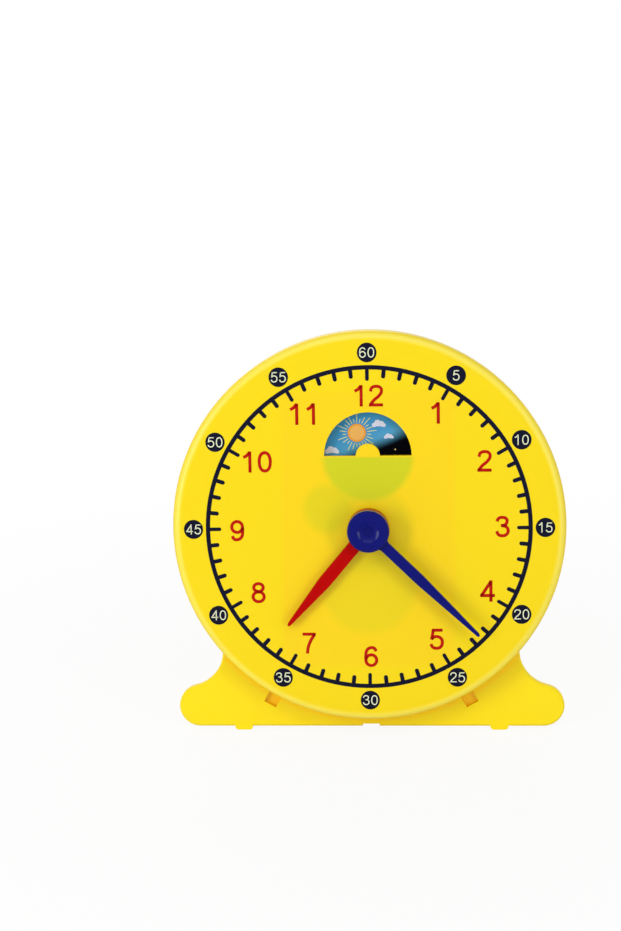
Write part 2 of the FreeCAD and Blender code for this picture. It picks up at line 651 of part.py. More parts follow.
def hand(name, hub_corners, blade_back, reach, shoulder, width, tip, turn):
    """A turned hub with a tapered blade that points to twelve before it is turned. The blade
    leaves the hub in two small fillets."""
    body = new_body(name + "_body")
    revolve(body, name + "_hub", hub_corners)
    half = width + "/2"
    point = tip + "/2"
    aside = "(%s+blade_fillet)" % half
    along = "sqrt((hub_radius+blade_fillet)^2-%s^2)" % aside
    shrink = "*hub_radius/(hub_radius+blade_fillet)"
    pad(body, name + "_blade", "XY_Plane", [
        ("-" + half, "blade_root"), (half, "blade_root"),
        (aside + shrink, along + shrink, "blade_fillet", -1), (half, along),
        (half, shoulder), (point, "%s-%s" % (reach, point)),
        (point + "/2", reach), ("-%s/2" % point, reach), ("-" + point, "%s-%s" % (reach, point)),
        ("-" + half, shoulder), ("-" + half, along, "blade_fillet", -1),
        ("-" + aside + shrink, along + shrink)], blade_back, "blade_thick")
    finish(name, body, turn=turn)


def hands():
    hand("hour_hand", [
        ("tube_radius", "hour_hub_front"), ("hub_radius-hub_bevel", "hour_hub_front"),
        ("hub_radius", "hour_hub_front-hub_bevel"), ("hub_radius", "hour_hub_front-hour_hub_thick"),
        ("tube_radius", "hour_hub_front-hour_hub_thick")],
        "hour_blade_back", "hour_reach", "hour_shoulder", "hour_width", "hour_tip", "hour_turn")
    hand("minute_hand", [
        ("0", "minute_hub_front-dimple_deep-dot_deep"),
        ("dot_radius", "minute_hub_front-dimple_deep-dot_deep"),
        ("dot_radius", "minute_hub_front-dimple_deep", "dimple_radius^2/dimple_deep/2", 1),
        ("dimple_radius", "minute_hub_front"), ("hub_radius-hub_bevel", "minute_hub_front"),
        ("hub_radius", "minute_hub_front-hub_bevel"), ("hub_radius", "minute_hub_back"),
        ("arbor_radius", "minute_hub_back"), ("arbor_radius", "minute_hub_back+arbor_in_hub"),
        ("0", "minute_hub_back+arbor_in_hub")],
        "minute_hub_back+minute_blade_lift", "minute_reach", "minute_shoulder", "minute_width",
        "minute_tip", "minute_turn")


# Setting knob at the back

def setting_knob():
    body = new_body("knob_body")
    revolve(body, "knob_turning", [
        ("0", "-knob_front"), ("knob_hub", "-knob_front"), ("knob_hub", "-knob_disc_front"),
        ("knob_radius", "-knob_disc_front"), ("knob_radius", "-knob_back+knob_bevel"),
        ("knob_radius-knob_bevel", "-knob_back"), ("knob_well", "-knob_back"),
        ("knob_well", "-knob_floor"), ("0", "-knob_floor")])
    outline = sketch(body, "knob_flute_outline", "XY_Plane", "-knob_disc_front")
    circle(outline, "knob_radius+flute_inset", "0", "flute_radius")
    flute = body.newObject("PartDesign::Pocket", "knob_flute")
    flute.Profile = outline
    bind(flute, Length="knob_tall+overshoot")
    around = body.newObject("PartDesign::PolarPattern", "knob_flutes")
    around.Originals = [flute]
    around.Axis = (outline, ["N_Axis"])
    around.Angle = 360
    bind(around, Occurrences="flutes")
    body.Tip = around

    round_bore = cylinder("knob_bore_round", "seat_radius", "-arbor_end", "arbor_end")
    flat_side = box("knob_bore_flat", ("-arbor_radius", "arbor_radius+seat_flat"),
                    ("-arbor_radius", "2*arbor_radius"), ("-arbor_end", "arbor_end"))
    bore = common("knob_bore", round_bore, flat_side)
    screw_hole = cylinder("knob_screw_hole", "knob_pilot+pilot_gap", "-knob_back", "knob_back")
    finish("setting_knob", cut("setting_knob", body, [bore, screw_hole]), turn="cannon_angle")


def knob_screw():
    head = cylinder("knob_screw_cap", "knob_screw_head", "-knob_floor-knob_screw_head_tall",
                    "knob_screw_head_tall")
    shank = cylinder("knob_screw_stem", "knob_screw_shank", "-knob_floor", "knob_screw_long")
    cross = recess_cross("knob_screw", "0", "0", "-knob_floor-knob_screw_head_tall")
    finish("knob_screw", cut("knob_screw", fuse("knob_screw_solid", [head, shank]), cross))


def friction_washer():
    ring = cylinder("washer_ring", "washer_radius", "-box_back-washer_thick", "washer_thick")
    hole = cylinder("washer_hole", "arbor_radius+end_play", "-box_back-washer_thick-overshoot",
                    "washer_thick+2*overshoot")
    finish("friction_washer", cut("friction_washer", ring, [hole]))


dial_case()
rear_housing()
housing_screws()
stand()
minute_arbor()
hour_wheel()
minute_wheel()
idler_gear()
day_night_gear()
day_night_disc()
pivot_pins()
hands()
setting_knob()
knob_screw()
friction_washer()
doc.recompute()

# The origin is on the floor under the middle of the whole clock
boxes = [piece.Shape.optimalBoundingBox(False) for piece in PIECES.values()]
middle = (min(b.YMin for b in boxes) + max(b.YMax for b in boxes)) / 2
sheet.set(sheet.getCellFromAlias("origin_back"), "%.4f" % -middle)
doc.recompute()

for item in doc.Objects:
    assert "Invalid" not in item.State and "Error" not in item.State, item.Name + str(item.State)
os.makedirs("parts", exist_ok=True)
for name, piece in PIECES.items():
    assert not piece.Shape.isNull() and piece.Shape.isValid(), name
    piece.Shape.exportStep("parts/%s.step" % name)
    print(name, "solids", len(piece.Shape.Solids), "volume %.1f" % piece.Shape.Volume)
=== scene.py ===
import json
import math

import bmesh
import bpy
from bpy.props import FloatProperty, FloatVectorProperty, IntProperty, PointerProperty
from mathutils import Matrix, Vector


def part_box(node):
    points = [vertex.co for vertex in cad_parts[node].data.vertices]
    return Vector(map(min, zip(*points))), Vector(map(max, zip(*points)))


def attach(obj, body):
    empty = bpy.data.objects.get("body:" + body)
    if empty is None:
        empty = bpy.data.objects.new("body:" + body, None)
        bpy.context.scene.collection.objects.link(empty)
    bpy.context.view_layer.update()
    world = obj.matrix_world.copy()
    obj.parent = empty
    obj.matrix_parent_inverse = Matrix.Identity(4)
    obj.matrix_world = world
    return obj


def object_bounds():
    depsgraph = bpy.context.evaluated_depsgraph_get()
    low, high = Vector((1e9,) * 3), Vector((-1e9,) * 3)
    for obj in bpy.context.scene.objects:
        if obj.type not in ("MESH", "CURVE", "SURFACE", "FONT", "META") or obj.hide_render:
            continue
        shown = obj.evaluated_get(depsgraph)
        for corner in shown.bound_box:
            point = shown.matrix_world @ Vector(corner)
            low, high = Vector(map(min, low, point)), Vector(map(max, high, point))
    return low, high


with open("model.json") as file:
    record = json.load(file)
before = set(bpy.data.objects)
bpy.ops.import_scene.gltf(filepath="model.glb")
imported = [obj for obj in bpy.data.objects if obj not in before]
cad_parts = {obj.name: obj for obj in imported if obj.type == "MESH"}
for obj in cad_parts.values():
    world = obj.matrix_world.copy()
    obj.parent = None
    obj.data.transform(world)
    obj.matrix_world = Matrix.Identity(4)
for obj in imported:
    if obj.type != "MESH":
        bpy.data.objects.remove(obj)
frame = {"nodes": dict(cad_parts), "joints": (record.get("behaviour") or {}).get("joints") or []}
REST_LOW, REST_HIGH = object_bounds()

bl_info = {
    "name": "Geared Teaching Clock",
    "version": (1, 0, 0),
    "blender": (4, 5, 0),
    "location": "View3D > Sidebar > Clock",
    "description": "Dresses the geared teaching clock: print, picture, plastics and studio",
    "category": "Add Mesh",
}

MM = 0.001

# The frame of the dial, read from the joint that carries the minute hand
SPINS = {joint["name"]: joint for joint in frame["joints"]}
HUB = Vector(SPINS["minute_spin"]["pos_m"])
DAY_AXIS = Vector(SPINS["day_night_spin"]["pos_m"])
OUTWARD = -Vector(SPINS["minute_spin"]["axis"])
RIGHT = Vector((1, 0, 0))
UP = OUTWARD.cross(RIGHT)
DIAL = Matrix.Translation(HUB) @ Matrix((RIGHT, UP, OUTWARD)).transposed().to_4x4()
DAY_HEIGHT = (DAY_AXIS - HUB).dot(UP)

BOX_LOW, BOX_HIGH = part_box("rear_housing")
FLOOR = REST_LOW[2]

# Painted shade of the parts behind the translucent dial: wheels with their radius and how strongly
# their shade is painted, the radius of the card, the height over which it fades in under the
# window, and how soft edges are
SHOWN_WHEELS = (("minute_wheel_spin", 13.0 * MM, 0.35), ("hour_spin", 12.0 * MM, 0.3),
                ("idler_spin", 7.0 * MM, 0.55))
CARD_SHOWN = 11.9 * MM
WINDOW_EDGE = 0.6 * MM
SHOWN_SOFT = 1.2 * MM
# Depths between which the dial's front skin takes over from its inside
SKIN_BACK = -1.0 * MM
SKIN_FRONT = -0.5 * MM
# Radius at which the painted highlight on the rim starts
RIM_START = 49.9 * MM

# A painted shade, a deeper orange band on the stand under the rim, counted outwards from the edge
# of the case
CASE_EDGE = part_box("dial_case")[1][0]
UNDER_RIM_SHADE_START = 1.2 * MM
UNDER_RIM_SHADE_REACH = 3.6 * MM
UNDER_RIM_SHADE_SHARE = 0.8

# Plastics: how rough and glossy they are, and the spots and depth of their relief
PLASTIC_ROUGH = 0.28
PLASTIC_GLOSS = 0.25
PLASTIC_SPOT = 1.2 * MM
CASE_RELIEF = 0.002 * MM
DIAL_RELIEF = 0.0015 * MM
HAND_ROUGH = 0.14
HOUR_HAND_GLOSS = 0.05
MINUTE_HAND_GLOSS = 0.12


def level(corner):
    """How far a corner of a box lies above the hub, along the dial."""
    return (Vector(corner) - HUB).dot(UP)


def front_of(node):
    """The depth of a node's front face in the dial's frame."""
    mesh = frame["nodes"][node].data
    return max((vert.co - HUB).dot(OUTWARD) for vert in mesh.vertices)


# The clip slots of the stand, whose insides get a painted shade: their middle, half their side and
# depth, and the thin layers over which colours change at the plate's front and at a slot's mouth
# and floor
PLATE_FRONT = front_of("stand")
SLOT_SPOT = (25.8 * MM, -46.4 * MM)
SLOT_REACH = 4.5 * MM
SLOT_SOFT = 0.5 * MM
SLOT_DEEP = 1.2 * MM
SLOT_MOUTH = 0.3 * MM
LAYER_NEAR = 0.1 * MM
LAYER_FAR = 0.2 * MM

# A small moulded ring on the floor of the hub's bowl
HUB_RING = 0.85 * MM
HUB_RING_WIDE = 0.25 * MM
HUB_RING_HIGH = 0.3 * MM
HUB_BOWL = 0.72 * MM
# Angle in radians from which an edge counts as a corner
SHARP = 1

# The picture: places as a radius on the disc and degrees from the middle of the day, with a
# cloud's scale. A puff of a cloud is its place and radius in millimetres
LOW_SKY = 7 * MM
SUN_SPOT = (6.6 * MM, 3)
SUN_FACE = 0.8
RAY_LENGTHS = (1.0, 0.72, 0.86)
RAY_GAP = 0.3 * MM
RAY_WIDTH = 0.19 * MM
CLOUDS = ((8.7 * MM, -43, 1.2), (7.4 * MM, -72, 0.85), (9.6 * MM, 60, 1.25))
PUFFS = ((-1.05, -0.15, 0.5), (1.1, -0.2, 0.42), (0.55, 0.1, 0.62), (-0.3, 0.25, 0.75))
CLOUD_STEP = 0.004 * MM
MOON_SPOT = (6.8 * MM, 172)
MOON_SHADE = 0.85
MOON_SHADE_ASIDE = 0.45
MOON_SHADE_UP = 0.5 * MM
# The stars step outwards in millimetres and round in degrees, each step wrapped to its span
STARS_START = (5.2, 98)
STARS_STEP = (2.3, 61.0)
STARS_SPAN = (5.4, 164)
STAR_SMALLEST = 0.16 * MM
STAR_LARGER = 0.08 * MM
STAR_WAIST = 0.35

# The numerals stand a little off their circle, as they are printed
ALL_NUMERALS_ASIDE = (0.35 * MM, 0.3 * MM)
NUMERALS_ASIDE = {4: (0.7 * MM, 0.2 * MM), 7: (1.0 * MM, -1.0 * MM), 8: (0.4 * MM, 0.0),
                  9: (-0.3 * MM, -0.7 * MM), 10: (0.7 * MM, 0.2 * MM)}

# Lamps in the dial's frame, in metres: the value that holds the power, width, height and place
LAMPS = {"left_lamp": ("left", 0.15, 0.5, (-0.55, 0.08, 0.5)),
         "right_lamp": ("right", 0.12, 0.45, (0.52, 0.06, 0.52)),
         "top_lamp": ("top", 0.8, 0.4, (0.0, 0.58, 0.62)),
         "back_lamp": ("back", 0.7, 0.5, (-0.25, 0.55, -0.65))}
FLOOR_HALF = 3.0


# Values that a user can change

def length(name, description, default):
    return FloatProperty(name=name, description=description, default=default, unit="LENGTH",
                         subtype="DISTANCE", precision=5, min=0.0)


def colour(name, description, default):
    return FloatVectorProperty(name=name, description=description, default=default, size=3,
                               subtype="COLOR", min=0.0, max=1.0)


def angle(name, description, degrees):
    return FloatProperty(name=name, description=description, default=math.radians(degrees),
                         unit="ROTATION", subtype="ANGLE")


class DialPrintSizes(bpy.types.PropertyGroup):
    """Sizes of what is printed on the dial."""
    ink: length("Ink thickness", "How far the print stands above the dial", 0.03 * MM)
    ring_outer: length("Ring outside", "Outer radius of the minute ring", 43.45 * MM)
    ring_inner: length("Ring inside", "Inner radius of the minute ring", 42.3 * MM)
    minute_inner: length("Minute mark end", "Radius at which a minute mark ends", 40.1 * MM)
    minute_width: length("Minute mark width", "Width of a minute mark", 1.1 * MM)
    hour_inner: length("Hour mark end", "Radius at which a five minute mark ends", 39.3 * MM)
    hour_width: length("Hour mark width", "Width of a five minute mark", 0.98 * MM)
    badge_radius: length("Badge radius", "Radius of a minute badge", 2.58 * MM)
    badge_circle: length("Badge circle", "Radius of the circle of badges", 46.77 * MM)
    badge_digit: length("Badge digit height", "Height of the digits in a badge", 2.75 * MM)
    badge_stroke: FloatProperty(name="Badge stroke", description="Stroke of a badge digit over "
                                "its height", default=0.1, min=0.02, max=0.3)
    numeral_height: length("Numeral height", "Height of the hour numerals", 5.75 * MM)
    numeral_circle: length("Numeral circle", "Radius of the circle of numerals", 35.1 * MM)
    stroke: FloatProperty(name="Stroke", description="Width of a digit's stroke over its height",
                          default=0.145, min=0.02, max=0.3)


class PictureSizes(bpy.types.PropertyGroup):
    """Sizes of the picture on the day and night disc."""
    ink: length("Ink thickness", "How far one layer of print stands above the last", 0.02 * MM)
    horizon: angle("Horizon", "Where the day ends on the disc, counted from the right", 23.0)
    day_short: length("Day cut short", "How far the middle of dusk lies on the day's side",
                      1.75 * MM)
    blend: length("Dusk width", "Half the width of the soft change from day to night", 1.9 * MM)
    sun_radius: length("Sun radius", "Radius of the sun's disc", 2.45 * MM)
    sun_reach: length("Sun reach", "Radius at which the long rays end", 5.3 * MM)
    rays: IntProperty(name="Rays", description="Number of rays of the sun", default=26, min=4)
    moon_radius: length("Moon radius", "Radius of the crescent moon", 2.4 * MM)
    stars: IntProperty(name="Stars", description="Number of stars in the night", default=14,
                       min=0)


class ClockColours(bpy.types.PropertyGroup):
    """Colours of the plastics and inks, as they look under a plain light."""
    case: colour("Case yellow", "Yellow of the stand, housing and knob", (0.93, 0.72, 0.004))
    dial: colour("Dial yellow", "Yellow of the dial", (0.885, 0.66, 0.002))
    # Painted highlight: a paler yellow on the dial's rounded rim
    rim: colour("Rim yellow", "Paler yellow of the dial's rounded rim", (0.91, 0.75, 0.075))
    # Painted shade and colour of the housing, wheels and card behind, seen through the translucent
    # dial
    housing_tint: colour("Housing behind", "Dial colour over the closed housing",
                         (0.90, 0.63, 0.004))
    wheel_tint: colour("Wheels behind", "Dial colour over the hour, minute and idler wheels",
                       (0.62, 0.59, 0.006))
    card_tint: colour("Card behind", "Dial colour over the day and night disc",
                      (0.60, 0.595, 0.008))
    navy: colour("Navy ink", "Minute ring and badges", (0.003, 0.004, 0.018))
    badge_digit: colour("Badge digits", "Digits in the badges", (0.84, 0.88, 0.62))
    numeral: colour("Numeral red", "Hour numerals", (0.50, 0.006, 0.002))
    hour_hand: colour("Hour hand red", "Red of the hour hand", (0.46, 0.001, 0.001))
    minute_hand: colour("Minute hand blue", "Blue of the minute hand", (0.001, 0.003, 0.15))
    # Painted shade: a deeper orange for the slots' insides and for the band under the rim
    slot: colour("Slot orange", "Warmer yellow inside the stand's slots", (1.0, 0.62, 0.001))
    gear: colour("Gear blue", "Blue of the gears", (0.05, 0.2, 0.5))
    sky: colour("Sky", "Day sky", (0.05, 0.26, 0.50))
    sky_low: colour("Low sky", "Day sky near the horizon", (0.10, 0.36, 0.58))
    night: colour("Night", "Night sky", (0.0005, 0.0005, 0.002))
    sun: colour("Sun", "Disc of the sun", (0.74, 0.40, 0.10))
    sun_edge: colour("Sun's edge", "Edge of the sun's disc", (0.72, 0.30, 0.04))
    ray: colour("Rays", "Rays of the sun", (0.66, 0.62, 0.22))
    cloud: colour("Cloud", "Clouds", (0.58, 0.60, 0.72))
    moon: colour("Moon", "Crescent and stars", (0.82, 0.62, 0.25))


class StudioValues(bpy.types.PropertyGroup):
    """Camera and light of the studio."""
    camera_right: length("Camera right", "Camera's distance right of the hub", 10.75 * MM)
    camera_up: length("Camera up", "Camera's distance above the hub along the dial", 75.05 * MM)
    camera_out: length("Camera out", "Camera's distance in front of the dial", 462.6 * MM)
    yaw: angle("Camera yaw", "Turn of the camera about the dial's upright", 3.211)
    pitch: angle("Camera pitch", "Downward tilt of the camera against the dial", 7.144)
    roll: angle("Camera roll", "Roll of the camera", -0.841)
    focal: FloatProperty(name="Lens", description="Focal length in millimetres", default=68.11)
    world: FloatProperty(name="Room light", description="Strength of the even light",
                         default=0.54)
    left: FloatProperty(name="Left light", description="Power of the left lamp in watts",
                        default=1.9)
    right: FloatProperty(name="Right light", description="Power of the right lamp in watts",
                         default=0.95)
    top: FloatProperty(name="Top light", description="Power of the overhead lamp in watts",
                       default=1.55)
    back: FloatProperty(name="Back light", description="Power of the lamp behind in watts",
                        default=1.8)
    floor: colour("Floor", "Colour of the floor", (0.85, 0.85, 0.85))
    floor_white: FloatProperty(name="Floor white", description="How far the camera sees the floor "
                               "near the clock as pure white", default=0.9, min=0.0, max=1.0)
    floor_near: length("Floor near", "Distance from which the floor turns pure white", 60 * MM)
    floor_far: length("Floor far", "Distance at which the floor is pure white", 260 * MM)


# Materials

def principled(name, base, roughness, **sockets):
    material = bpy.data.materials.new(name)
    material.use_nodes = True
    shader = material.node_tree.nodes["Principled BSDF"]
    shader.inputs["Base Color"].default_value = (*base, 1.0)
    shader.inputs["Roughness"].default_value = roughness
    for socket, value in sockets.items():
        shader.inputs[socket.replace("_", " ")].default_value = value
    return material


class Nodes:
    """Short calls for the nodes of one material."""

    def __init__(self, material):
        self.tree = material.node_tree
        self.shader = self.tree.nodes["Principled BSDF"]

    def add(self, kind, **values):
        node = self.tree.nodes.new(kind)
        for name, value in values.items():
            setattr(node, name, value)
        return node

    def link(self, source, target):
        self.tree.links.new(source, target)

    def dial_place(self, centre_up=0.0):
        """Object coordinates turned into the dial's frame, about a point above the hub."""
        coords = self.add("ShaderNodeTexCoord")
        turn = self.add("ShaderNodeMapping", vector_type="POINT")
        inverse = DIAL.inverted()
        turn.inputs["Rotation"].default_value = inverse.to_euler("XYZ")
        shift = inverse.translation - Vector((0, centre_up, 0))
        turn.inputs["Location"].default_value = shift
        self.link(coords.outputs["Object"], turn.inputs["Vector"])
        return turn.outputs["Vector"]

    def maths(self, operation, first, second=0.0):
        node = self.add("ShaderNodeMath", operation=operation)
        for socket, value in zip(node.inputs, (first, second)):
            if isinstance(value, (int, float)):
                socket.default_value = value
            else:
                self.link(value, socket)
        return node.outputs[0]

    def smooth(self, value, low, high, start=0.0, end=1.0):
        node = self.add("ShaderNodeMapRange", interpolation_type="SMOOTHSTEP")
        for name, number in (("From Min", low), ("From Max", high), ("To Min", start),
                             ("To Max", end)):
            node.inputs[name].default_value = number
        self.link(value, node.inputs["Value"])
        return node.outputs["Result"]

    def distance(self, place, spot):
        node = self.add("ShaderNodeVectorMath", operation="DISTANCE")
        flat = self.add("ShaderNodeVectorMath", operation="MULTIPLY")
        flat.inputs[1].default_value = (1, 1, 0)
        self.link(place, flat.inputs[0])
        self.link(flat.outputs["Vector"], node.inputs[0])
        node.inputs[1].default_value = (*spot, 0)
        return node.outputs["Value"]

    def split(self, place):
        node = self.add("ShaderNodeSeparateXYZ")
        self.link(place, node.inputs[0])
        return node.outputs


def grain(material, size, deep, stretch=(1, 1, 1)):
    """Fine relief of a moulded, drawn or printed surface, in spots of one size."""
    nodes = Nodes(material)
    coords = nodes.add("ShaderNodeTexCoord")
    spread = nodes.add("ShaderNodeMapping")
    spread.inputs["Scale"].default_value = stretch
    noise = nodes.add("ShaderNodeTexNoise")
    noise.inputs["Scale"].default_value = 1 / size
    noise.inputs["Detail"].default_value = 1.0
    bump = nodes.add("ShaderNodeBump")
    bump.inputs["Distance"].default_value = deep
    nodes.link(coords.outputs["Object"], spread.inputs["Vector"])
    nodes.link(spread.outputs["Vector"], noise.inputs["Vector"])
    nodes.link(noise.outputs["Fac"], bump.inputs["Height"])
    nodes.link(bump.outputs["Normal"], nodes.shader.inputs["Normal"])
    return material


def paint(nodes, layers, base):
    """Lays colours over a base colour, each where its mask is 1, and returns the last socket."""
    below = None
    for mask, tint in layers:
        node = nodes.add("ShaderNodeMix", data_type="RGBA")
        nodes.link(mask, node.inputs[0])
        if below is None:
            node.inputs[6].default_value = (*base, 1.0)
        else:
            nodes.link(below, node.inputs[6])
        node.inputs[7].default_value = (*tint, 1.0)
        below = node.outputs[2]
    return below


def plastic(name, base):
    return principled(name, base, PLASTIC_ROUGH, Specular_IOR_Level=PLASTIC_GLOSS)


def case_plastic(colours):
    return grain(plastic("case_plastic", colours.case), PLASTIC_SPOT, CASE_RELIEF)


def stand_plastic(colours):
    """The case plastic with painted shade, a deeper orange inside the two clip slots and in the
    gap under the dial.
    """
    material = plastic("stand_plastic", colours.case)
    nodes = Nodes(material)
    place = nodes.dial_place()
    x, y, z = nodes.split(place)
    floor = PLATE_FRONT - SLOT_DEEP
    # Painted shade inside the clip slots, between their mouth and their floor
    deep = nodes.maths("MULTIPLY", nodes.smooth(z, PLATE_FRONT - SLOT_MOUTH,
                                                PLATE_FRONT - LAYER_NEAR, 1.0, 0.0),
                       nodes.smooth(z, floor - LAYER_FAR, floor - LAYER_NEAR))
    across = nodes.maths("SUBTRACT", nodes.maths("ABSOLUTE", x), SLOT_SPOT[0])
    along = nodes.maths("SUBTRACT", y, SLOT_SPOT[1])
    near = nodes.maths("MAXIMUM", nodes.maths("ABSOLUTE", across), nodes.maths("ABSOLUTE", along))
    inside = nodes.smooth(near, SLOT_REACH, SLOT_REACH + SLOT_SOFT, 1.0, 0.0)
    # Painted shade in a band on the stand's front just outside the dial's rim
    edge = nodes.smooth(nodes.distance(place, (0, 0)), CASE_EDGE + UNDER_RIM_SHADE_START,
                        CASE_EDGE + UNDER_RIM_SHADE_REACH, UNDER_RIM_SHADE_SHARE, 0.0)
    front = nodes.smooth(z, PLATE_FRONT - LAYER_FAR, PLATE_FRONT - LAYER_NEAR)
    layers = [(nodes.maths("MULTIPLY", edge, front), colours.slot),
              (nodes.maths("MULTIPLY", deep, inside), colours.slot)]
    nodes.link(paint(nodes, layers, colours.case), nodes.shader.inputs["Base Color"])
    return grain(material, PLASTIC_SPOT, CASE_RELIEF)


def dial_plastic(colours):
    """The case plastic with painted shade where the housing, the wheels and the card would show
    faintly through the thin dial, and a painted highlight on its rounded rim.
    """
    material = plastic("dial_plastic", colours.dial)
    nodes = Nodes(material)
    place = nodes.dial_place()
    x, y, z = nodes.split(place)
    soft = SHOWN_SOFT
    side = BOX_HIGH[0]
    top, bottom = [level(corner) for corner in (BOX_HIGH, BOX_LOW)]
    front = nodes.smooth(z, SKIN_BACK, SKIN_FRONT)
    box = nodes.maths("MULTIPLY", front, nodes.smooth(
        nodes.maths("ABSOLUTE", x), side - soft, side + soft, 1.0, 0.0))
    box = nodes.maths("MULTIPLY", box, nodes.smooth(y, top - soft, top + soft, 1.0, 0.0))
    box = nodes.maths("MULTIPLY", box, nodes.smooth(y, bottom - soft, bottom + soft))
    # Painted see-through shade of the housing, the wheels and the card
    layers = [(box, colours.housing_tint)]
    for spin, radius, strength in SHOWN_WHEELS:
        spot = DIAL.inverted() @ Vector(SPINS[spin]["pos_m"])
        shown = nodes.smooth(nodes.distance(place, spot.xy), radius - 2 * soft, radius + soft,
                             strength, 0.0)
        layers.append((nodes.maths("MULTIPLY", shown, front), colours.wheel_tint))
    card = nodes.smooth(nodes.distance(place, (0, DAY_HEIGHT)), CARD_SHOWN - soft,
                        CARD_SHOWN + soft, 1.0, 0.0)
    below = nodes.smooth(y, DAY_HEIGHT - WINDOW_EDGE, DAY_HEIGHT, 1.0, 0.0)
    card = nodes.maths("MULTIPLY", card, below)
    layers.append((nodes.maths("MULTIPLY", card, front), colours.card_tint))
    # Painted highlight on the rounded rim
    rim = nodes.smooth(nodes.distance(place, (0, 0)), RIM_START, RIM_START + soft)
    layers.append((nodes.maths("MULTIPLY", rim, front), colours.rim))
    nodes.link(paint(nodes, layers, colours.dial), nodes.shader.inputs["Base Color"])
    return grain(material, PLASTIC_SPOT, DIAL_RELIEF)


def ink(name, base):
    material = principled(name, base, roughness=0.5, Specular_IOR_Level=0.08)
    return grain(material, size=0.15 * MM, deep=0.001 * MM)


def hand_plastic(name, base, gloss):
    material = principled(name, base, HAND_ROUGH, Specular_IOR_Level=gloss)
    return grain(material, size=0.8 * MM, deep=CASE_RELIEF)


def gear_plastic(colours):
    material = principled("gear_plastic", colours.gear, roughness=0.45)
    return grain(material, size=0.3 * MM, deep=0.004 * MM)


def steel():
    """Drawn and zinc plated steel, with its relief stretched into fine lines."""
    material = principled("zinc_steel", (0.6, 0.6, 0.62), roughness=0.3, Metallic=1.0)
    return grain(material, size=0.25 * MM, deep=0.004 * MM, stretch=(1.0, 6.0, 1.0))


def washer_plastic():
    material = principled("washer_plastic", (0.86, 0.86, 0.84), roughness=0.5)
    return grain(material, size=0.2 * MM, deep=0.004 * MM)


def picture_card(colours, sizes):
    """The card of the day and night disc: a blue sky on one side, a dark one on the other."""
    material = principled("picture_card", colours.sky, roughness=0.35, Specular_IOR_Level=0.02)
    nodes = Nodes(material)
    place = nodes.dial_place(DAY_HEIGHT)
    x, y, _ = nodes.split(place)
    across = nodes.maths("SUBTRACT", nodes.maths("MULTIPLY", y, math.cos(sizes.horizon)),
                         nodes.maths("MULTIPLY", x, math.sin(sizes.horizon)))
    low = nodes.smooth(across, 0.0, LOW_SKY, 1.0, 0.0)
    dusk = nodes.smooth(across, sizes.day_short - sizes.blend, sizes.day_short + sizes.blend,
                        1.0, 0.0)
    layers = [(low, colours.sky_low), (dusk, colours.night)]
    nodes.link(paint(nodes, layers, colours.sky), nodes.shader.inputs["Base Color"])
    return grain(material, size=0.1 * MM, deep=0.001 * MM)


def dress(material, *names):
    """Gives CAD nodes one material."""
    for name in names:
        mesh = frame["nodes"][name].data
        mesh.materials.clear()
        mesh.materials.append(material)


# Building flat print

def thicken(bm, thickness):
    """Turns a flat sheet that faces the viewer into a closed print of some thickness."""
    sheet = bm.faces[:]
    raised = bmesh.ops.extrude_face_region(bm, geom=sheet, use_keep_orig=True)
    lifted = [item for item in raised["geom"] if isinstance(item, bmesh.types.BMVert)]
    bmesh.ops.translate(bm, vec=(0, 0, thickness), verts=lifted)
    bmesh.ops.recalc_face_normals(bm, faces=bm.faces[:])


def disc(bm, radius, x=0.0, y=0.0, segments=48, z=0.0):
    made = bmesh.ops.create_circle(bm, cap_ends=True, radius=radius, segments=segments)
    bmesh.ops.translate(bm, vec=(x, y, z), verts=made["verts"])
    return made["verts"]


def annulus(bm, outer, inner, segments=180):
    rings = [bmesh.ops.create_circle(bm, radius=radius, segments=segments)["verts"]
             for radius in (outer, inner)]
    edges = {edge for ring in rings for vert in ring for edge in vert.link_edges}
    bmesh.ops.bridge_loops(bm, edges=list(edges))


def mark(bm, start, end, width, turn):
    """One straight mark with round ends, from one radius to another along a clock angle."""
    segments = 16
    verts = disc(bm, width / 2, segments=segments)
    # Half a segment's turn leaves no corner on the line that parts the two ends
    bmesh.ops.rotate(bm, matrix=Matrix.Rotation(math.pi / segments, 3, "Z"), verts=verts)
    far = [vert for vert in verts if vert.co.y > 0]
    bmesh.ops.translate(bm, vec=(0, end - start - width, 0), verts=far)
    bmesh.ops.translate(bm, vec=(0, start + width / 2, 0), verts=verts)
    bmesh.ops.rotate(bm, matrix=Matrix.Rotation(-turn, 3, "Z"), verts=verts)


def clock_spot(radius, turn):
    return radius * math.sin(turn), radius * math.cos(turn)


def keep(name, bm, material, body, lift=0.0):
    """Seats a bmesh made in the dial's frame on the clock and hands it to its body."""
    bmesh.ops.translate(bm, vec=(0, 0, lift), verts=bm.verts[:])
    bmesh.ops.transform(bm, matrix=DIAL, verts=bm.verts[:])
    mesh = bpy.data.meshes.new(name)
    bm.to_mesh(mesh)
    bm.free()
    mesh.materials.append(material)
    piece = bpy.data.objects.new(name, mesh)
    bpy.context.scene.collection.objects.link(piece)
    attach(piece, body)


